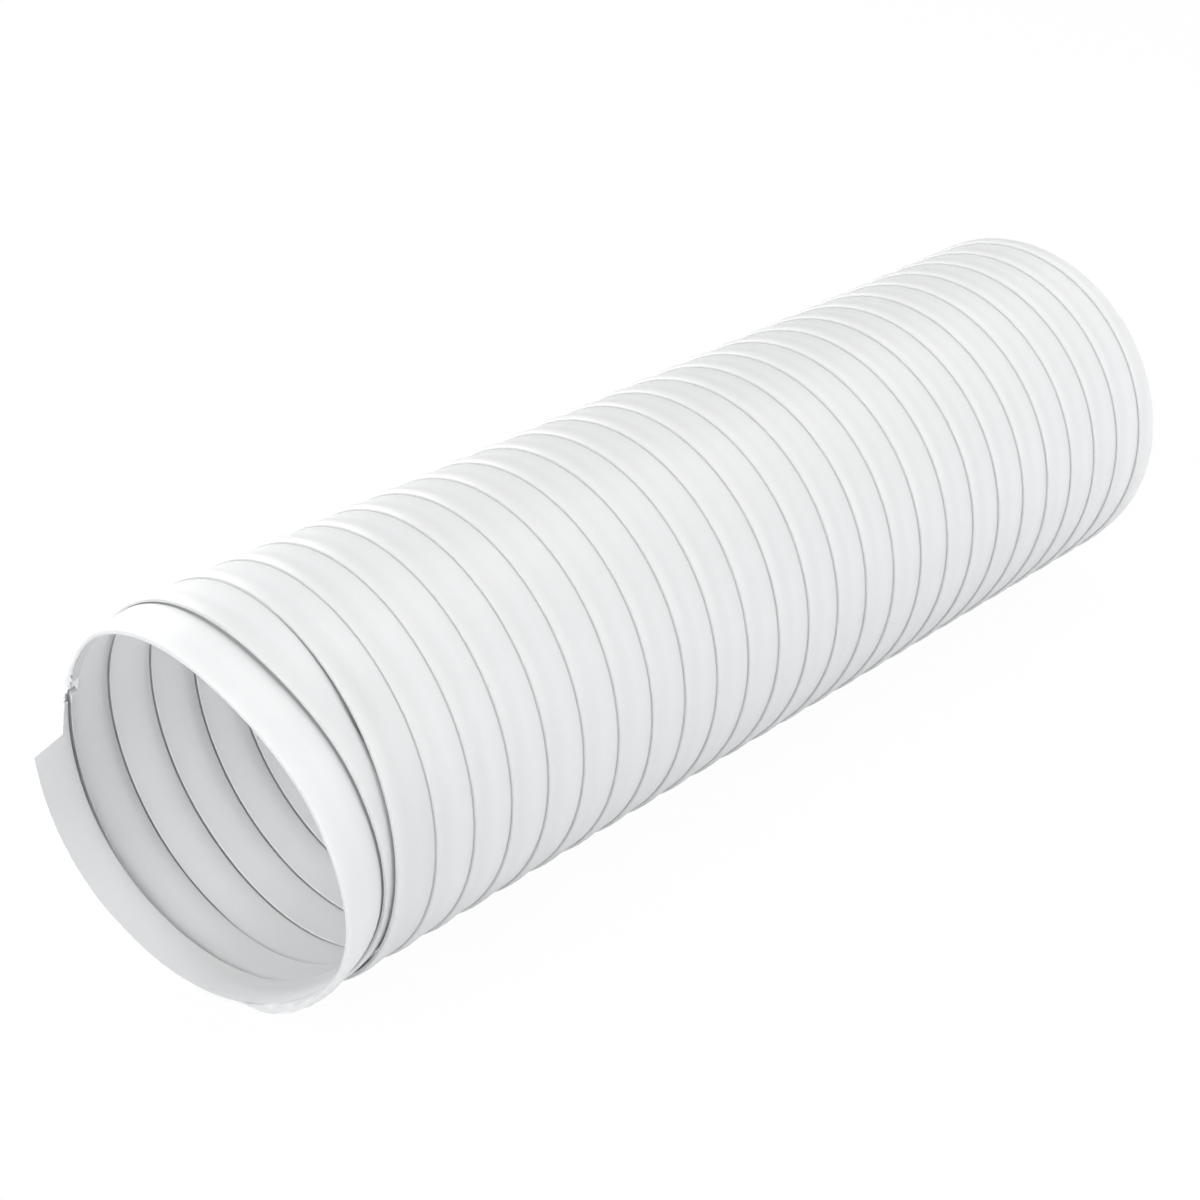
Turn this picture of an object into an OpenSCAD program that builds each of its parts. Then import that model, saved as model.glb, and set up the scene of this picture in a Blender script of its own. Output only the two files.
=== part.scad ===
/* [Hose] */
// Outside diameter over the ridges of the turns
hose_d = 150; // [130:1:180]
// Length of the hose from the foremost point of the strip to the square-cut end
hose_len = 493; // [200:1:560]
// Distance from one turn to the next along the hose
pitch = 17.5; // [17:0.1:19]

/* [Strip] */
// Thickness of the plastic strip
strip_t = 0.9; // [0.7:0.05:1]
// Length by which each turn's back edge lies under the front edge of the next turn
lap = 4; // [3.6:0.1:6]
// Distance from the front edge of a turn to its ridge
ridge_at = 3; // [2:0.1:3.5]
// Height of the ridge over the front edge of its turn
ridge_rise = 1; // [0.6:0.1:1.1]
// Distance from the front edge of a turn to the foot of its slope
foot_at = 8.5; // [8:0.5:10]
// Depth of the foot of the slope below the ridge
foot_drop = 2.2; // [2:0.1:2.4]
// Depth of the back edge of a turn below its ridge
back_drop = 3.3; // [3.3:0.1:4]

/* [Loose front turns] */
// Furthest that the mouth is pushed back, low on its right side
push_back = 17; // [0:0.1:17]

/* [Trimmed ends] */
// Angle round the mouth of the strip's free front end, from the right side over the top
start_at = 180; // [165:15:195]
// Width trimmed off the front edge along the lower left of the mouth
hook_trim = 5.5; // [4:0.1:6]
// Width cut away from the front of the strip where its back part runs on as a tongue
tongue_cut = 18.4; // [17:0.1:19]
// Angle that the tongue runs past the cut
tongue_run = 17; // [10:1:24]
// Width of the strip where the square cut runs out at the back end
tail_w = 3; // [2.5:0.5:6]

/* [Hidden] */
// Flat faces that stand for one round turn of the strip
FACES = 24;
STEP = 360 / FACES;
R = hose_d / 2;
STRIP_W = pitch + lap;

// Outline of the strip's outer face, each point as distance from the front edge and depth below the ridge
FACE_LINE = [[0, ridge_rise], [ridge_at, 0], [foot_at, foot_drop], [STRIP_W, back_drop]];
LAST = len(FACE_LINE) - 1;
// Least distance between two points of the outline where a cut narrows the strip
PINCH = 0.4;

// Course of the loose turns, from the free front end to the settled turns: each row is an angle run along
// the strip, then the shift along the hose and the inward dents of the front edge and of the back edge,
// all three as shares of the push back
LOOSE = [
    [1.5, -0.32, 0.32, 0.3],
    [50, -0.2, 0.18, 0.26],
    [100, 0.32, 0.03, 0.06],
    [145, 1, -0.06, 0.2],
    [200, 0.65, 0.26, 0.2],
    [245, 0.03, 0.24, 0.12],
    [290, -0.24, 0.24, 0.06],
    [325, -0.18, 0.38, 0],
    [360, -0.12, 0.3, 0],
    [420, 0, 0.06, 0.03],
    [470, 0.22, 0, 0.06],
    [520, 0.88, 0.12, 0.32],
    [565, 0.61, 0.12, 0.15],
    [610, 0.02, 0.03, 0.03],
    [665, -0.16, 0.03, 0],
    [720, -0.07, 0, 0],
    [790, 0.02, 0, 0]
];
SHIFT = 1;
FRONT_DENT = 2;
BACK_DENT = 3;
LOOSE_START = LOOSE[0];
LOOSE_END = LOOSE[len(LOOSE) - 1];

// Front cut of the strip, each as angle run along the strip and width cut away
FRONT_CUT = [
    [-tongue_run, STRIP_W - 1.6],
    [-0.6 * tongue_run, tongue_cut + 0.8],
    [-2, tongue_cut],
    [1.5, hook_trim],
    [60, hook_trim + 1.5],
    [105, hook_trim],
    [135, 0]
];
// Place where an untrimmed and unshifted front edge would start, for the corner to be foremost
ORIGIN = -hose_len / 2 - hook_trim - push_back * LOOSE_START[SHIFT];
// Angle run along the strip when the square cut has narrowed it to the tail
RUN_END = 360 * (hose_len / 2 - tail_w - ORIGIN - push_back * LOOSE_END[SHIFT]) / pitch;

STATIONS = concat(
    [for (cut = FRONT_CUT) if (cut[0] < STEP) cut[0]],
    [for (run = [STEP : STEP : RUN_END]) run]
);

// Straight interpolation in a table of [position, value] pairs
function straight(table, at) = lookup(at, table);

// Slope of one column of the loose course at one of its rows, level at both ends
function slope(row, column) =
    row == 0 || row == len(LOOSE) - 1 ? 0 :
    (LOOSE[row + 1][column] - LOOSE[row - 1][column]) / (LOOSE[row + 1][0] - LOOSE[row - 1][0]);

// Smooth interpolation in one column of the loose course, in millimetres
function loose(run, column) =
    run <= LOOSE_START[0] ? push_back * LOOSE_START[column] :
    run >= LOOSE_END[0] ? push_back * LOOSE_END[column] :
    let(
        i = max([for (k = [0 : len(LOOSE) - 2]) if (LOOSE[k][0] <= run) k]),
        span = LOOSE[i + 1][0] - LOOSE[i][0],
        t = (run - LOOSE[i][0]) / span,
        share = 3 * t ^ 2 - 2 * t ^ 3,
        values = (1 - share) * LOOSE[i][column] + share * LOOSE[i + 1][column],
        slopes = (t ^ 3 - 2 * t ^ 2 + t) * slope(i, column) + (t ^ 3 - t ^ 2) * slope(i + 1, column)
    )
    push_back * (values + span * slopes);

// Place of a turn's front edge along the hose
function front_edge(run) = ORIGIN + pitch * run / 360 + loose(run, SHIFT);

// Distance of an outline point from the front edge, after the front cut and the square end cut
function across(run, i) =
    let(
        cut = straight(FRONT_CUT, run),
        left = hose_len / 2 - front_edge(run)
    )
    min(max(FACE_LINE[i][0], cut + i * PINCH), left - (LAST - i) * PINCH);

// One corner of the strip's section, at a depth below its outer face
function corner(run, i, depth) =
    let(
        s = across(run, i),
        share = s / STRIP_W,
        dent = (1 - share) * loose(run, FRONT_DENT) + share * loose(run, BACK_DENT),
        radius = R - straight(FACE_LINE, s) - depth - dent,
        angle = start_at + run
    )
    [radius * cos(angle), front_edge(run) + s, R + radius * sin(angle)];

// Closed section of the strip: along its outer face and back along its inner face
function section(run) = concat(
    [for (i = [0 : LAST]) corner(run, i, 0)],
    [for (i = [LAST : -1 : 0]) corner(run, i, strip_t)]
);

// Skin over a row of closed sections with the same number of corners
module skin(sections) {
    n = len(sections[0]);
    rows = len(sections);
    sides = [
        for (row = [0 : rows - 2], i = [0 : n - 1])
            let(
                a = row * n + i,
                b = row * n + (i + 1) % n
            )
            each [[a, b + n, b], [a, a + n, b + n]]
    ];
    front = [for (i = [0 : n - 1]) i];
    back = [for (i = [n - 1 : -1 : 0]) (rows - 1) * n + i];
    polyhedron(points = [for (s = sections) each s], faces = concat(sides, [front, back]), convexity = 10);
}

// The hose is one plastic strip, wound in a left-hand helix with each turn hooked over the one before it
module wound_strip() {
    color([0.93, 0.94, 0.95])
        skin([for (run = STATIONS) section(run)]);
}

wound_strip();
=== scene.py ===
"""Dressed model of a helical exhaust hose for a portable air conditioner.

The hose is one extruded strip of white plastic, wound into a left-hand helix.
The hooked front edge of each turn grips the catch lip at the back edge of the turn before it.
Everything is in metres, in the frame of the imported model: the hose lies along Y with its mouth at -Y.
"""
import logging
import math
from dataclasses import dataclass, field
from enum import Enum

import bmesh
import bpy
import numpy as np
from mathutils import Matrix, Vector


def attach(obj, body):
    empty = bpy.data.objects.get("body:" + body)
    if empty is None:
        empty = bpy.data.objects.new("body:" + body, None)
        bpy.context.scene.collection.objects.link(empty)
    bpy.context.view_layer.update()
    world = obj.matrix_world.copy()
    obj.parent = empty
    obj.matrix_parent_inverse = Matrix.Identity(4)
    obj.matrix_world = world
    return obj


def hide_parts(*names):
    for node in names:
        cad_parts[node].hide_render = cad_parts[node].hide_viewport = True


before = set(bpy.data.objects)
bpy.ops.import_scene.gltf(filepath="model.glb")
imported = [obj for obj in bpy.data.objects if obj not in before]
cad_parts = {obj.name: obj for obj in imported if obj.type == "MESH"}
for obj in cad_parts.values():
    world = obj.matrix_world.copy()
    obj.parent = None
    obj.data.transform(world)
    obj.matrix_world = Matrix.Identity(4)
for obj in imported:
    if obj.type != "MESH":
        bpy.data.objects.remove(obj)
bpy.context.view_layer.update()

MM = 0.001

log = logging.getLogger("hose")


class Wire:
    """An output socket of a node tree, with the arithmetic that is used on values."""

    def __init__(self, graph: "Graph", socket: bpy.types.NodeSocket) -> None:
        """Keeps the tree and the socket that the value comes from.

        Args:
            graph: Tree that the socket is in.
            socket: Output socket.
        """
        self.graph = graph
        self.socket = socket

    def _join(self, operation: str, first: object, second: object) -> "Wire":
        """Adds a Math node.

        Args:
            operation: Operation of the Math node.
            first: Value or wire of its first input.
            second: Value or wire of its second input.

        Returns:
            The node's value.
        """
        return self.graph.value("ShaderNodeMath", {"operation": operation}, {0: first, 1: second})

    def __add__(self, other: object) -> "Wire":
        """Sum with a value or wire."""
        return self._join("ADD", self, other)

    def __radd__(self, other: object) -> "Wire":
        """Sum with a value on the left."""
        return self._join("ADD", other, self)

    def __sub__(self, other: object) -> "Wire":
        """Difference from a value or wire."""
        return self._join("SUBTRACT", self, other)

    def __rsub__(self, other: object) -> "Wire":
        """Difference of a value on the left."""
        return self._join("SUBTRACT", other, self)

    def __mul__(self, other: object) -> "Wire":
        """Product with a value or wire."""
        return self._join("MULTIPLY", self, other)

    def __rmul__(self, other: object) -> "Wire":
        """Product with a value on the left."""
        return self._join("MULTIPLY", other, self)


class Graph:
    """The node tree of a material or of the world."""

    def __init__(self, tree: bpy.types.NodeTree) -> None:
        """Empties a node tree and keeps it.

        Args:
            tree: Tree to fill.
        """
        self.tree = tree
        tree.nodes.clear()

    def node(self, kind: str, settings: dict | None = None, inputs: dict | None = None) -> bpy.types.Node:
        """Adds one node.

        Args:
            kind: Type name of the node.
            settings: Its settings by name, where "stops" are the stops of a colour ramp.
            inputs: Values or wires of its sockets, by name or number.

        Returns:
            The new node.
        """
        made = self.tree.nodes.new(kind)
        for name, value in (settings or {}).items():
            if name == "stops":
                self._set_stops(made.color_ramp, value)
            else:
                setattr(made, name, value)
        for name, value in (inputs or {}).items():
            if isinstance(value, Wire):
                self.tree.links.new(value.socket, made.inputs[name])
            else:
                made.inputs[name].default_value = value
        return made

    def value(self, kind: str, settings: dict | None = None, inputs: dict | None = None,
              output: int | str = 0) -> Wire:
        """Adds one node and gives one of its outputs.

        Args:
            kind: Type name of the node.
            settings: Its settings by name.
            inputs: Values or wires of its sockets.
            output: Name or number of the output.

        Returns:
            That output as a wire.
        """
        return Wire(self, self.node(kind, settings, inputs).outputs[output])

    def blend(self, share: object, low: object, high: object) -> Wire:
        """Mixes two colours.

        Args:
            share: Value or wire, where 1 is all of the second colour.
            low: First colour.
            high: Second colour.

        Returns:
            The mixed colour.
        """
        settings = {"data_type": "RGBA", "clamp_factor": True}
        return self.value("ShaderNodeMix", settings, {0: share, 6: low, 7: high}, 2)

    @staticmethod
    def _set_stops(ramp: bpy.types.ColorRamp, stops: list[tuple[float, tuple]]) -> None:
        """Fills a colour ramp.

        Args:
            ramp: Ramp with its two stops.
            stops: Place and colour of each stop, from left to right.
        """
        while len(ramp.elements) < len(stops):
            ramp.elements.new(1.0)
        for element, (place, colour) in zip(ramp.elements, stops):
            element.position = place
            element.color = colour


class Bench:
    """The few steps that all the modelling shares."""

    @staticmethod
    def clear() -> None:
        """Leaves edit mode and deselects every object."""
        if bpy.context.object is not None and bpy.context.object.mode != "OBJECT":
            bpy.ops.object.mode_set(mode="OBJECT")
        bpy.ops.object.select_all(action="DESELECT")

    @staticmethod
    def only(piece: bpy.types.Object) -> None:
        """Selects one object and makes it the active one."""
        Bench.clear()
        piece.select_set(True)
        bpy.context.view_layer.objects.active = piece

    @staticmethod
    def apply(piece: bpy.types.Object, kind: str, **settings: object) -> None:
        """Adds a modifier and applies it.

        Args:
            piece: Object that gets it.
            kind: Type of the modifier.
            **settings: Its settings by name.
        """
        Bench.only(piece)
        modifier = piece.modifiers.new(kind.title(), kind)
        for name, value in settings.items():
            setattr(modifier, name, value)
        bpy.ops.object.modifier_apply(modifier=modifier.name)

    @staticmethod
    def points(piece: bpy.types.Object) -> np.ndarray:
        """Vertex places of a mesh object, one row each."""
        flat = np.empty(len(piece.data.vertices) * 3)
        piece.data.vertices.foreach_get("co", flat)
        return flat.reshape(-1, 3)

    @staticmethod
    def place_points(piece: bpy.types.Object, places: np.ndarray) -> None:
        """Moves the vertices of a mesh object.

        Args:
            piece: Object whose mesh changes.
            places: New place of every vertex, one row each.
        """
        piece.data.vertices.foreach_set("co", places.astype(np.float32).ravel())
        piece.data.update()


@dataclass(frozen=True)
class WhitePolypropylene:
    """Extruded white plastic: satin, faintly cloudy, with fine draw lines along the strip.

    The wall is thin enough for light to come through it, so part of the light passes on behind the surface.
    Painted shade darkens its seams, its laps, the front faces of its lip and the rim of the mouth.
    """

    name: str = "white_polypropylene"
    body: tuple = (0.882, 0.886, 0.89, 1.0)
    cloud: tuple = (0.905, 0.908, 0.91, 1.0)
    stressed: tuple = (0.96, 0.965, 0.97, 1.0)
    roughness: float = 0.42
    through: float = 0.3
    through_colour: tuple = (0.95, 0.955, 0.96, 1.0)
    # painted shade: grey put into the gaps of the seams and laps, on the lip's front faces and along the mouth's
    # rim
    painted_shade: tuple = (0.5, 0.505, 0.51, 1.0)

    def material(self) -> bpy.types.Material:
        """Builds the material.

        Returns:
            The finished material.
        """
        made = bpy.data.materials.new(self.name)
        made.use_nodes = True
        graph = Graph(made.node_tree)
        strip = graph.value("ShaderNodeAttribute", {"attribute_name": "strip"}, output="Vector")
        trim = graph.value("ShaderNodeAttribute", {"attribute_name": "trim"}, output="Fac")
        painted_shade_mask = graph.value("ShaderNodeAttribute", {"attribute_name": "painted_shade_mask"}, output="Fac")
        coords = graph.value("ShaderNodeTexCoord", output="Object")
        cloud = self._noise(graph, coords, (14.0, 14.0, 14.0), 3.0)
        draw = self._noise(graph, strip, (18.0, 2600.0, 1.0), 2.0)
        scuff = self._noise(graph, strip, (60.0, 380.0, 1.0), 4.0)
        grain = self._noise(graph, coords, (1500.0, 1500.0, 1500.0), 1.0)
        tone = graph.blend((cloud - 0.3) * 1.6 + (draw - 0.5) * 0.35, self.body, self.cloud)
        tone = graph.blend(trim * (0.35 + 0.65 * scuff), tone, self.stressed)
        # painted shade: the mask darkens the body colour where shade falls in the seams and laps and on the lip
        # fronts; it also lets less light through there
        tone = graph.blend(painted_shade_mask, tone, self.painted_shade)
        rough = self.roughness + (scuff - 0.5) * 0.12 + (draw - 0.5) * 0.06 + trim * 0.2
        height = draw * 0.5 + scuff * 0.3 + grain * 0.2
        normal = graph.value("ShaderNodeBump", inputs={"Strength": 0.12, "Distance": 0.00012, "Height": height})
        inputs = {
            "Base Color": tone,
            "Roughness": rough,
            "Normal": normal,
            "IOR": 1.49,
        }
        face = graph.value("ShaderNodeBsdfPrincipled", {}, inputs)
        thin = graph.value("ShaderNodeBsdfTranslucent", {}, {"Color": self.through_colour, "Normal": normal})
        share = self.through - painted_shade_mask * (self.through - 0.05)
        wall = graph.value("ShaderNodeMixShader", {}, {0: share, 1: face, 2: thin})
        graph.node("ShaderNodeOutputMaterial", {}, {"Surface": wall})
        return made

    @staticmethod
    def _noise(graph: Graph, coords: Wire, stretch: tuple, detail: float) -> Wire:
        """Adds a noise pattern.

        Args:
            graph: Tree that gets it.
            coords: Coordinates that it reads.
            stretch: Number of pattern cells in a metre, along each axis.
            detail: Number of finer layers.

        Returns:
            The noise value, about 0.5 on average.
        """
        spread = graph.value("ShaderNodeMapping", {}, {"Vector": coords, "Scale": stretch})
        return graph.value("ShaderNodeTexNoise", {}, {"Vector": spread, "Scale": 1.0, "Detail": detail})


@dataclass(frozen=True)
class StripSection:
    """Cross-section of the strip, drawn in the plane of the hose axis.

    Each corner is a distance from the front edge, a depth below the ridge and a corner radius, in millimetres.
    """

    radius: float = 75.0 * MM
    width: float = 21.35
    cover_at: tuple = (17.1, 18.5)
    wall_at: float = 4.75
    lip: tuple = ((0.4, 2.08, 0.1), (0.06, 1.6, 0.0), (0.0, 1.25, 0.0), (0.08, 0.92, 0.0))
    ridge: tuple = ((0.3, 0.6, 0.0), (0.65, 0.41, 0.0), (1.1, 0.27, 0.0), (1.7, 0.15, 0.0), (2.5, 0.05, 0.0),
                    (3.3, 0.01, 0.0))
    outer_face: tuple = ((4.4, 0.05, 0.0), (5.8, 0.2, 0.0), (7.6, 0.42, 0.0), (10.0, 0.66, 0.0), (17.1, 1.1, 0.0),
                         (17.8, 1.3, 0.0), (18.5, 1.42, 0.0), (20.8, 1.42, 0.0), (21.35, 1.45, 0.2))
    inner_face: tuple = ((21.35, 3.3, 0.2), (20.8, 3.3, 0.0), (7.9, 3.22, 0.0), (6.4, 3.22, 0.0), (5.4, 3.22, 0.0), (4.75, 3.22, 0.15))
    hook: tuple = ((4.8, 2.15, 0.0), (2.9, 0.98, 0.0), (1.35, 0.9, 0.0), (1.3, 2.08, 0.0))
    folds: tuple = ((0.0, 0.32, 0.92, 2.2, 3.2), (0.0, 0.32, 0.8, 0.95, 3.2))
    wall: float = 0.95

    def draw(self) -> bpy.types.Object:
        """Draws the section as a ring of edges, corner by corner.

        Returns:
            Object with one closed ring and no face, standing on the +X side of the axis.
        """
        corners = [*self.lip, *self.ridge, *self.outer_face, *self.inner_face, *self.hook]
        places = [self._place(across, depth) for across, depth, _ in corners]
        bpy.ops.mesh.primitive_plane_add(size=MM, location=places[0])
        ring = bpy.context.object
        ring.name = "wound_strip_body"
        bpy.ops.object.transform_apply(location=True)
        bpy.ops.object.mode_set(mode="EDIT")
        bpy.ops.mesh.select_mode(type="VERT")
        bpy.ops.mesh.select_all(action="SELECT")
        bpy.ops.mesh.merge(type="CENTER")
        for here, there in zip(places, places[1:]):
            bpy.ops.mesh.extrude_vertices_move(TRANSFORM_OT_translate={"value": there - here})
        bpy.ops.mesh.select_all(action="SELECT")
        bpy.ops.mesh.edge_face_add()
        for bend in sorted({corner[2] for corner in corners} - {0.0}):
            self._round(ring, [place for place, corner in zip(places, corners) if corner[2] == bend], bend * MM)
        bpy.ops.mesh.select_all(action="SELECT")
        bpy.ops.mesh.delete(type="ONLY_FACE")
        bpy.ops.object.mode_set(mode="OBJECT")
        return ring

    def faces_at(self, across: np.ndarray) -> tuple[np.ndarray, np.ndarray]:
        """Finds the depths of the outer and the inner face.

        Args:
            across: Distances from the front edge, in millimetres.

        Returns:
            Depths of the outer face and of the inner face below the ridge.
        """
        outer = [*self.lip[1:], *self.ridge, *self.outer_face]
        inner = [*self.inner_face, *self.hook][::-1]
        return tuple(np.interp(across, [c[0] for c in line], [c[1] for c in line]) for line in (outer, inner))

    def _place(self, across: float, depth: float) -> Vector:
        """Turns a distance from the front edge and a depth, in millimetres, into a place."""
        return Vector((self.radius - depth * MM, across * MM, 0.0))

    @staticmethod
    def _round(ring: bpy.types.Object, places: list[Vector], bend: float) -> None:
        """Rounds some of the section's corners.

        Args:
            ring: Object of the section, in edit mode.
            places: Where the corners are.
            bend: How far from each corner its rounding starts.
        """
        mesh = bmesh.from_edit_mesh(ring.data)
        for vertex in mesh.verts:
            vertex.select = min((vertex.co - place).length for place in places) < 1e-6
        mesh.select_flush_mode()
        bmesh.update_edit_mesh(ring.data)
        bpy.ops.mesh.bevel(offset=bend, segments=2, affect="VERTICES")


@dataclass(frozen=True)
class LoosePath:
    """Way that the strip takes along the hose, with the loose turns at the mouth.

    Each row of the course is an angle run along the strip, then the shift along the hose and the inward dents of
    the front edge and of the back edge, all three as shares of the push back.
    """

    pitch: float = 17.5 * MM
    length: float = 493.0 * MM
    start: float = 180.0
    push_back: float = 17.0 * MM
    hook_trim: float = 5.5
    tongue_cut: float = 18.4
    tongue_run: float = 17.0
    course: tuple = (
        (1.5, -0.32, 0.32, 0.3),
        (50, -0.2, 0.18, 0.26),
        (100, 0.32, 0.03, 0.06),
        (145, 1, -0.06, 0.2),
        (200, 0.65, 0.26, 0.2),
        (245, 0.03, 0.24, 0.12),
        (290, -0.24, 0.24, 0.06),
        (325, -0.18, 0.38, 0),
        (360, -0.12, 0.3, 0),
        (420, 0, 0.06, 0.03),
        (470, 0.22, 0, 0.06),
        (520, 0.88, 0.12, 0.32),
        (565, 0.61, 0.12, 0.15),
        (610, 0.02, 0.03, 0.03),
        (665, -0.16, 0.03, 0),
        (720, -0.07, 0, 0),
        (790, 0.02, 0, 0),
    )
    torn: tuple = (
        (326.0, 0.0, 0.0),
        (328.0, 0.1, 0.5),
        (329.5, 0.0, -0.3),
        (331.5, 0.2, 0.9),
        (333.0, 0.2, 0.1),
        (334.5, 0.4, 1.1),
        (335.5, 0.3, -0.4),
        (337.0, 0.9, 0.7),
        (338.0, 1.9, 0.2),
        (339.0, 2.6, 0.5),
        (340.0, 1.1, 0.0),
        (341.0, 0.0, 0.0),
    )

    def _loose(self, run: np.ndarray, column: int) -> np.ndarray:
        """Reads one column of the course, smoothly from row to row.

        Args:
            run: Run angles to read at.
            column: 1 for the shift, 2 for the front dent and 3 for the back dent.

        Returns:
            The values in metres.
        """
        rows = np.array(self.course, float)
        at, value = rows[:, 0], rows[:, column]
        slope = np.zeros(len(at))
        slope[1:-1] = (value[2:] - value[:-2]) / (at[2:] - at[:-2])
        run = np.clip(run, at[0], at[-1])
        low = np.clip(np.searchsorted(at, run, side="right") - 1, 0, len(at) - 2)
        span = at[low + 1] - at[low]
        t = (run - at[low]) / span
        share = 3 * t**2 - 2 * t**3
        values = (1 - share) * value[low] + share * value[low + 1]
        slopes = (t**3 - 2 * t**2 + t) * slope[low] + (t**3 - t**2) * slope[low + 1]
        return self.push_back * (values + span * slopes)

    @property
    def origin(self) -> float:
        """Where an untrimmed and unshifted front edge would start along the hose."""
        return -self.length / 2 - self.hook_trim * MM - self.push_back * self.course[0][1]

    def front(self, run: np.ndarray) -> np.ndarray:
        """Place of the front edge along the hose, for each run angle."""
        return self.origin + self.pitch * run / 360 + self._loose(run, 1)

    def dent(self, run: np.ndarray, share: np.ndarray) -> np.ndarray:
        """How far the strip is pressed inward, for each run angle and share of its width."""
        return (1 - share) * self._loose(run, 2) + share * self._loose(run, 3)

    def cut(self, run: np.ndarray, width: float) -> np.ndarray:
        """Finds how much of the front of the strip is cut away.

        Args:
            run: Run angles along the strip.
            width: Width of the strip in millimetres.

        Returns:
            Width cut away at each of them, in millimetres.
        """
        rows = (
            (-self.tongue_run, width - 1.6),
            (-0.6 * self.tongue_run, self.tongue_cut + 0.8),
            (-5.4, self.tongue_cut),
            (-1.9, self.hook_trim + 0.25),
            (60.0, self.hook_trim + 1.5),
            (105.0, self.hook_trim),
            (135.0, 0.0),
            *[(row[0], row[1]) for row in self.torn],
        )
        return np.interp(run, [row[0] for row in rows], [row[1] for row in rows])

    def droop(self, run: np.ndarray) -> np.ndarray:
        """How far the torn edge of the hook hangs inward, in millimetres, for each run angle."""
        return np.interp(run, [row[0] for row in self.torn], [row[2] for row in self.torn])

    def end(self, tail: float) -> float:
        """Run angle at which the square cut leaves a tail of a given width."""
        settled = self.push_back * self.course[-1][1]
        return 360.0 * (self.length / 2 - tail - self.origin - settled) / self.pitch


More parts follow.
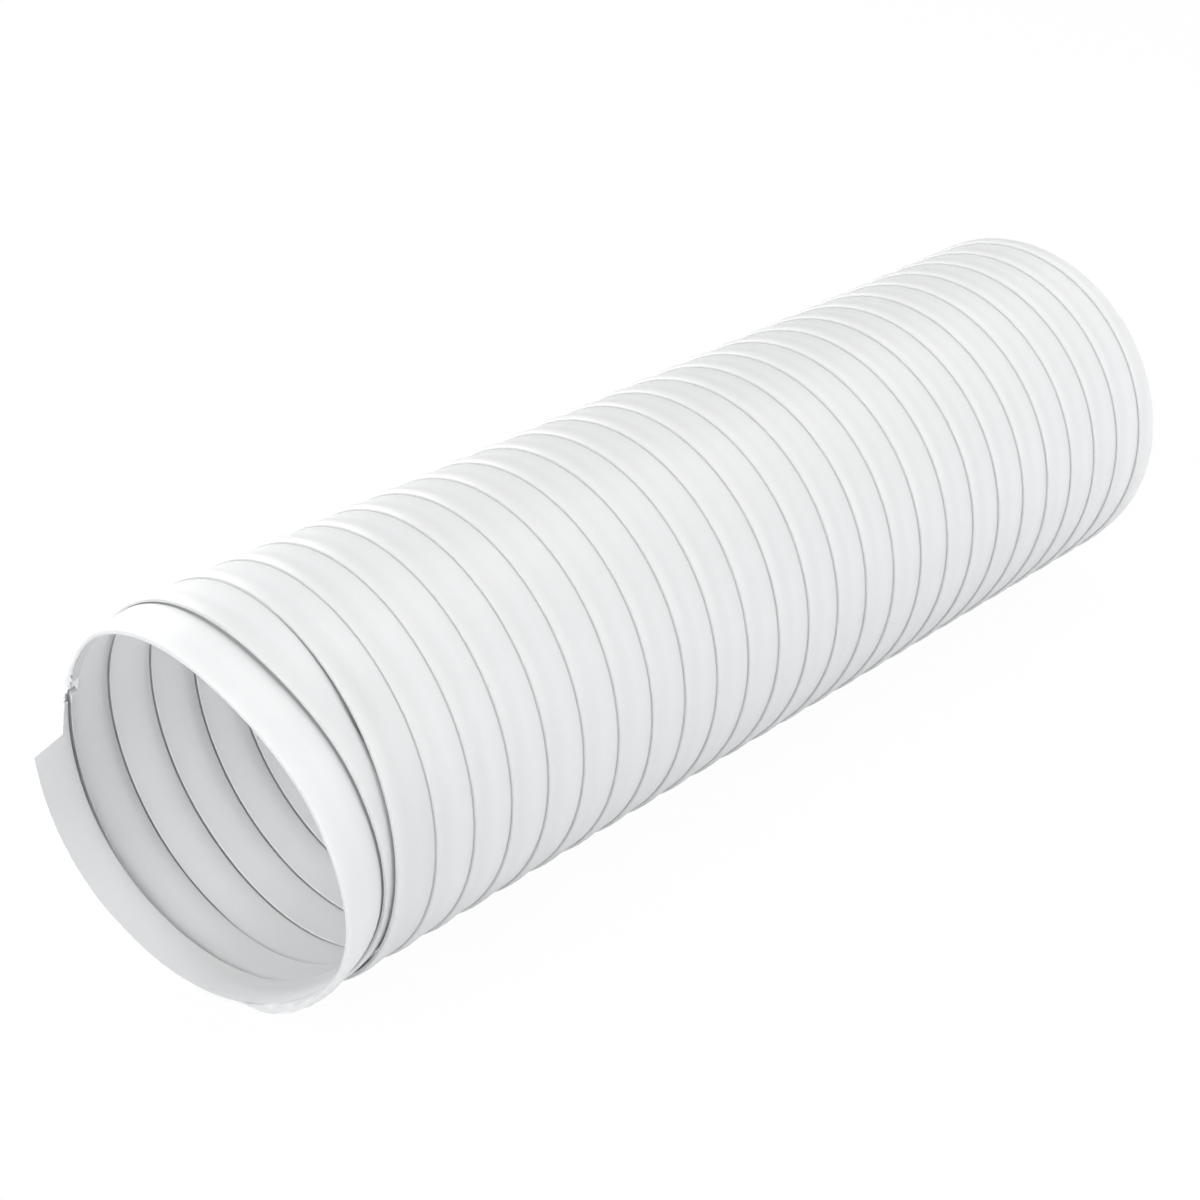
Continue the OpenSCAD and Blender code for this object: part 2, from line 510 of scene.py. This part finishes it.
@dataclass
class WoundStrip:
    """The hose itself: one strip, wound, loosened at the mouth and cut square at the back."""

    section: StripSection = field(default_factory=StripSection)
    path: LoosePath = field(default_factory=LoosePath)
    finish: WhitePolypropylene = field(default_factory=WhitePolypropylene)
    steps_per_turn: int = 90
    tail_width: float = 3.0 * MM
    cut_rows: tuple = (-17.0, -15.2, -13.4, -11.6, -9.8, -7.6, -5.4, -4.2, -3.0, -1.9, 0.9)

    def build(self) -> bpy.types.Object:
        """Makes the finished hose.

        Returns:
            The dressed object.
        """
        piece = self.section.draw()
        outline = Bench.points(piece)
        runs = self._runs()
        self._wind(piece, len(runs) - 1)
        self._lay(piece, outline, runs)
        self._close(piece)
        self._square_off(piece)
        self._dress(piece)
        return piece

    def _runs(self) -> np.ndarray:
        """Run angles of the stations along the strip, in degrees."""
        end = self.path.end(self.tail_width)
        steps = int((end - 4.0) / 360.0 * self.steps_per_turn)
        torn = np.arange(self.path.torn[0][0], self.path.torn[-1][0] + 1.0, 0.5)
        return np.unique(np.concatenate([self.cut_rows, torn, np.linspace(4.0, end, steps)]))

    def _wind(self, piece: bpy.types.Object, steps: int) -> None:
        """Winds the section into a helix round the hose axis.

        Args:
            piece: Object of the section.
            steps: Number of steps along the strip.
        """
        Bench.apply(
            piece,
            "SCREW",
            axis="Y",
            angle=-2 * math.pi * steps / self.steps_per_turn,
            screw_offset=self.path.pitch * steps / self.steps_per_turn,
            iterations=1,
            steps=steps,
            render_steps=steps,
            use_smooth_shade=True,
        )

    def _lay(self, piece: bpy.types.Object, outline: np.ndarray, runs: np.ndarray) -> None:
        """Lays every station of the helix where the strip really runs, and trims its front.

        Args:
            piece: Object of the wound strip.
            outline: Corners of the section, as distance from the axis and along the hose.
            runs: Run angle of each station.
        """
        run = np.repeat(runs, len(outline))
        depth = np.tile((self.section.radius - outline[:, 0]) / MM, len(runs))
        across = np.tile(outline[:, 1] / MM, len(runs))
        painted_shade_mask = self._painted_shade_mask(run, across, depth)
        across, depth = self._trim(run, *self._slide(run, across, depth))
        along = self.path.front(run) + across * MM
        dent = self.path.dent(run, across / self.section.width)
        radius = self.section.radius - depth * MM - dent
        angle = np.radians(self.path.start + run)
        places = np.stack([radius * np.cos(angle), along, radius * np.sin(angle) + self.section.radius], 1)
        Bench.place_points(piece, places)
        metres = np.radians(run) * self.section.radius
        self._store(piece, "strip", "FLOAT_VECTOR", np.stack([metres, across * MM, radius], 1))
        self._store(piece, "trim", "FLOAT", self._stress(run, across))
        # painted shade mask, read by the material to darken the colour
        self._store(piece, "painted_shade_mask", "FLOAT", painted_shade_mask)

    def _slide(self, run: np.ndarray, across: np.ndarray, depth: np.ndarray) -> tuple[np.ndarray, np.ndarray]:
        """Moves the corners that belong to the laps to where the neighbouring turns are.

        Args:
            run: Run angle of each corner.
            across: Its distance from the front edge in the drawn section.
            depth: Its depth below the ridge in the drawn section.

        Returns:
            New distances and depths.
        """
        outer, _ = self.section.faces_at(across)
        ahead = (self.path.front(run + 360.0) - self.path.front(run)) / MM
        first, last = self.section.cover_at
        cover = (across > first - 0.1) & (across < last + 0.1) & (np.abs(depth - outer) < 0.2)
        low = 10.3 + 0.3 * (across - first)
        moved = np.where(cover, np.clip(ahead + across - 17.9, low, 19.3 + across - first), across)
        free = 1.0 - np.clip((run - self.path.torn[-1][0] + 8.0) / 4.0, 0.0, 1.0)
        channel = (across > 1.2) & (across < 5.1) & (depth > outer + 0.5) & (depth < 3.1)
        flush = np.interp(across, (0.4, 4.75), (2.55, 3.22))
        bottom = (across < 0.7) & (depth > 1.4)
        moved = np.where(channel, np.minimum(moved, 4.8 - 0.1 * free), moved)
        grip = self.section.width - (self.path.front(run) - self.path.front(run - 360.0)) / MM
        wall = (np.abs(across - self.section.wall_at) < 0.7) & (depth > 2.0) & (run > 340.0)
        slack = np.clip(grip + 0.9 - self.section.wall_at, -2.6, 0.0)
        hooked = (across < 0.7) | ((across < 5.1) & (depth > outer + 0.5))
        folded = np.interp(depth, *self.section.folds)
        share = np.clip((run - self.path.torn[-1][0] + 4.0) / 4.0, 0.0, 1.0) * hooked
        hang = self.path.droop(run) * ((across < 1.4) & (depth > 1.9) & (depth < 2.3))
        depth = depth + share * (folded - depth) + hang
        depth = np.where(bottom, depth + 0.35 * free * (depth - 0.92), depth)
        return np.where(wall, moved + slack, moved), np.where(channel, depth + free * (flush - depth), depth)

    def _painted_shade_mask(self, run: np.ndarray, across: np.ndarray, depth: np.ndarray) -> np.ndarray:
        """Says how much painted shade each corner gets, where shade falls in the seams and laps and on the lip
        fronts.

        Args:
            run: Run angle of each corner.
            across: Its distance from the front edge in the drawn section.
            depth: Its depth below the ridge in the drawn section.

        Returns:
            1 for a corner in the gap of a seam or a lap, less on the lip's front face and along the mouth's rim,
            and 0 for one in the open.
        """
        # Painted shade: full in the crevices under the laps and in the hooks' gaps, part on the lip's front face,
        # which faces away from the lamps, and on the rim and hook channel along the free edge of the mouth.
        outer, _ = self.section.faces_at(across)
        under = (across > self.section.cover_at[0] + 0.6) & (np.abs(depth - outer) < 0.2)
        covered = self.path.front(run + 360.0) < self.path.length / 2
        hooked = (across > 1.2) & (across < self.section.wall_at + 0.1) & (depth > outer + 0.5) & (depth < 3.15)
        inside = hooked & (run > self.path.torn[-1][0] - 2.0)
        edge = np.interp(depth, (0.35, 0.6, 0.95), (0.0, 0.35, 0.85)) * (across < 0.7)
        cut = self.path.cut(run, self.section.width)
        edge = edge * (cut < 0.5)
        free = np.clip((run - 105.0) / 3.0, 0.0, 1.0) * (run < self.path.torn[-1][0] - 6.0)
        rim = 0.75 * ((across < cut + 0.7) & ((depth > 0.6) | (across < cut - 0.3)))
        channel = 0.3 * ((across < 5.1) & (depth > outer + 0.5) & (depth < 3.1))
        edge = np.maximum(edge, free * np.maximum(rim, channel))
        return np.maximum((under & covered) | inside, edge)

    def _trim(self, run: np.ndarray, across: np.ndarray, depth: np.ndarray) -> tuple[np.ndarray, np.ndarray]:
        """Moves the corners that the front cut takes away onto the cut.

        Args:
            run: Run angle of each corner.
            across: Its distance from the front edge.
            depth: Its depth below the ridge.

        Returns:
            New distances and depths.
        """
        cut = self.path.cut(run, self.section.width)
        outer, inner = self.section.faces_at(across)
        on_outer = np.abs(depth - outer) < np.abs(depth - inner)
        gone = across < cut
        near = np.clip(1.0 - (across - cut) / 4.0, 0.0, 1.0) * np.clip(cut / 5.0, 0.0, 1.0)
        outer, inner = self.section.faces_at(cut)
        depth = np.where(gone, np.where(on_outer, outer, inner), depth)
        depth = np.where(on_outer, depth + near * np.clip(inner - self.section.wall - depth, 0.0, None), depth)
        return np.where(gone, cut, across), depth

    @staticmethod
    def _stress(run: np.ndarray, across: np.ndarray) -> np.ndarray:
        """Says where the plastic is whitened by the cut and by the torn lip beside it.

        Args:
            run: Run angle of each corner.
            across: Its distance from the front edge.

        Returns:
            Whitening from 0 to 1.
        """
        torn = np.exp(-(((run - 337.0) / 5.0) ** 2)) * (across < 3.0)
        corner = np.exp(-(((run + 2.5) / 3.0) ** 2)) * (across < 20.0)
        return np.maximum(torn, 0.6 * corner)

    @staticmethod
    def _store(piece: bpy.types.Object, name: str, kind: str, values: np.ndarray) -> None:
        """Stores a value on every vertex.

        Args:
            piece: Object whose mesh gets it.
            name: Name of the attribute.
            kind: Type of the attribute.
            values: One row for each vertex.
        """
        attribute = piece.data.attributes.new(name, kind, "POINT")
        key = "vector" if kind == "FLOAT_VECTOR" else "value"
        attribute.data.foreach_set(key, values.astype(np.float32).ravel())

    @staticmethod
    def _close(piece: bpy.types.Object) -> None:
        """Closes the two ends of the strip."""
        Bench.only(piece)
        bpy.ops.object.mode_set(mode="EDIT")
        bpy.ops.mesh.select_mode(type="EDGE")
        bpy.ops.mesh.select_all(action="DESELECT")
        bpy.ops.mesh.select_non_manifold(extend=False)
        bpy.ops.mesh.edge_face_add()
        bpy.ops.object.mode_set(mode="OBJECT")

    def _square_off(self, piece: bpy.types.Object) -> None:
        """Cuts the back end of the hose square, and merges the corners that lie on the front cut."""
        Bench.only(piece)
        bpy.ops.object.mode_set(mode="EDIT")
        bpy.ops.mesh.select_all(action="SELECT")
        bpy.ops.mesh.bisect(
            plane_co=(0.0, self.path.length / 2, 0.0),
            plane_no=(0.0, 1.0, 0.0),
            use_fill=True,
            clear_outer=True,
            threshold=1e-6,
        )
        bpy.ops.mesh.select_all(action="SELECT")
        bpy.ops.mesh.remove_doubles(threshold=0.01 * MM)
        bpy.ops.mesh.normals_make_consistent(inside=False)
        bpy.ops.object.mode_set(mode="OBJECT")

    def _dress(self, piece: bpy.types.Object) -> None:
        """Gives the strip its shading and its finish, and ties it to the model."""
        Bench.only(piece)
        bpy.ops.object.shade_smooth_by_angle(angle=math.radians(50.0))
        piece.data.materials.clear()
        piece.data.materials.append(self.finish.material())
        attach(piece, "root")
        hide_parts("wound_strip")


class Role(Enum):
    """What a lamp does in the studio."""

    LEFT = "left"
    FRONT = "front"
    FAR_TOP = "far_top"
    TOP = "top"
    SIDE = "side"
    NEAR_LOW = "near_low"


@dataclass(frozen=True)
class SoftLamp:
    """A large soft box."""

    role: Role
    place: tuple
    aim: tuple
    size: float
    power: float
    colour: tuple = (1.0, 1.0, 1.0)

    def build(self) -> bpy.types.Object:
        """Makes the lamp.

        Returns:
            The lamp object.
        """
        Bench.clear()
        bpy.ops.object.light_add(type="AREA", location=self.place)
        lamp = bpy.context.object
        lamp.name = f"{self.role.value}_lamp"
        lamp.data.shape = "SQUARE"
        lamp.data.size = self.size
        lamp.data.energy = self.power
        lamp.data.color = self.colour
        way = Vector(self.aim) - Vector(self.place)
        lamp.rotation_euler = way.to_track_quat("-Z", "Y").to_euler()
        return lamp


@dataclass(frozen=True)
class PaleFloor:
    """White floor that keeps a faint shadow and otherwise shows as plain white."""

    half: float = 8.0
    lift: float = 0.0002
    shade: tuple = (0.86, 0.87, 0.88, 1.0)
    own_light: float = 0.97

    def build(self) -> bpy.types.Object:
        """Makes the floor.

        Returns:
            The floor object, marked as stage.
        """
        Bench.clear()
        bpy.ops.mesh.primitive_grid_add(x_subdivisions=8, y_subdivisions=8, size=2 * self.half,
                                        location=(0.0, 0.0, -self.lift))
        floor = bpy.context.object
        floor.name = "floor"
        floor.data.materials.append(self._material())
        return floor

    def _material(self) -> bpy.types.Material:
        """Builds the floor's material."""
        made = bpy.data.materials.new("pale_floor")
        made.use_nodes = True
        graph = Graph(made.node_tree)
        matt = graph.value("ShaderNodeBsdfDiffuse", {}, {"Color": self.shade})
        white = graph.value("ShaderNodeEmission", {}, {"Color": (1.0, 1.0, 1.0, 1.0), "Strength": 1.0})
        seen = Backdrop.seen(graph) * self.own_light
        mixed = graph.value("ShaderNodeMixShader", {}, {0: seen, 1: matt, 2: white})
        graph.node("ShaderNodeOutputMaterial", {}, {"Surface": mixed})
        return made


@dataclass(frozen=True)
class Backdrop:
    """White surroundings, which show as plain white to the camera; at a strength of 0 they give the studio no
    light of their own.
    """

    light: tuple = (1.0, 1.0, 1.0, 1.0)
    strength: float = 0.0

    @staticmethod
    def seen(graph: Graph) -> Wire:
        """Tells whether a ray comes straight from the camera.

        Args:
            graph: Tree that gets the nodes.

        Returns:
            1 for such a ray and 0 for any other.
        """
        return graph.value("ShaderNodeLightPath", output="Is Camera Ray")

    def build(self) -> None:
        """Makes the world."""
        world = bpy.data.worlds.new("white_studio")
        bpy.context.scene.world = world
        world.use_nodes = True
        graph = Graph(world.node_tree)
        even = graph.value("ShaderNodeBackground", {}, {"Color": self.light, "Strength": self.strength})
        white = graph.value("ShaderNodeBackground", {}, {"Color": (1.0, 1.0, 1.0, 1.0), "Strength": 1.0})
        mixed = graph.value("ShaderNodeMixShader", {}, {0: self.seen(graph), 1: even, 2: white})
        graph.node("ShaderNodeOutputWorld", {}, {"Surface": mixed})


@dataclass(frozen=True)
class StudioCamera:
    """The camera that looks down along the hose from its front right."""

    place: tuple = (0.5646, -0.6115, 0.5234)
    turn: float = 44.16
    down: float = 28.78
    roll: float = -0.55
    lens: float = 71.22

    def build(self) -> bpy.types.Object:
        """Makes the camera and gives it to the scene.

        Returns:
            The camera object.
        """
        Bench.clear()
        bpy.ops.object.camera_add(location=self.place)
        camera = bpy.context.object
        camera.name = "studio_camera"
        camera.data.sensor_width = 36.0
        camera.data.lens = self.lens
        camera.data.clip_start = 0.01
        camera.data.clip_end = 50.0
        level = Matrix.Rotation(math.radians(self.turn), 3, "Z")
        tilt = Matrix.Rotation(math.radians(90.0 - self.down), 3, "X")
        lean = Matrix.Rotation(math.radians(self.roll), 3, "Z")
        camera.rotation_euler = (level @ tilt @ lean).to_euler()
        bpy.context.scene.camera = camera
        return camera


@dataclass
class Studio:
    """Floor, surroundings, lamps and camera."""

    floor: PaleFloor = field(default_factory=PaleFloor)
    backdrop: Backdrop = field(default_factory=Backdrop)
    camera: StudioCamera = field(default_factory=StudioCamera)
    lamps: tuple = (
        SoftLamp(Role.LEFT, (-1.6, 0.0, 0.6), (0.0, 0.0, 0.08), 1.5, 31.0),
        SoftLamp(Role.FRONT, (0.0, -1.8, 1.12), (0.0, -0.1, 0.08), 1.5, 42.0),
        SoftLamp(Role.FAR_TOP, (0.0, 1.6, 1.6), (0.0, 0.1, 0.08), 1.5, 13.0),
        SoftLamp(Role.TOP, (0.2, 0.5, 1.2), (0.0, 0.2, 0.08), 1.0, 4.8),
        SoftLamp(Role.SIDE, (1.0, 0.4, 0.5), (0.0, 0.15, 0.08), 0.8, 6.7),
        SoftLamp(Role.NEAR_LOW, (1.2, -1.4, 0.5), (0.0, -0.1, 0.08), 1.0, 5.8),
    )

    def build(self) -> None:
        """Sets up the whole studio."""
        bpy.context.scene.view_settings.view_transform = "Standard"
        self.camera.build()
        self.backdrop.build()
        self.floor.build()
        for lamp in self.lamps:
            lamp.build()


def main() -> None:
    """Builds the studio and the hose."""
    logging.basicConfig(level=logging.INFO, format="%(message)s")
    Studio().build()
    log.info("studio: camera, backdrop, floor and lamps")
    hose = WoundStrip().build()
    log.info("%s: %d faces", hose.name, len(hose.data.polygons))


if __name__ == "__main__":
    main()
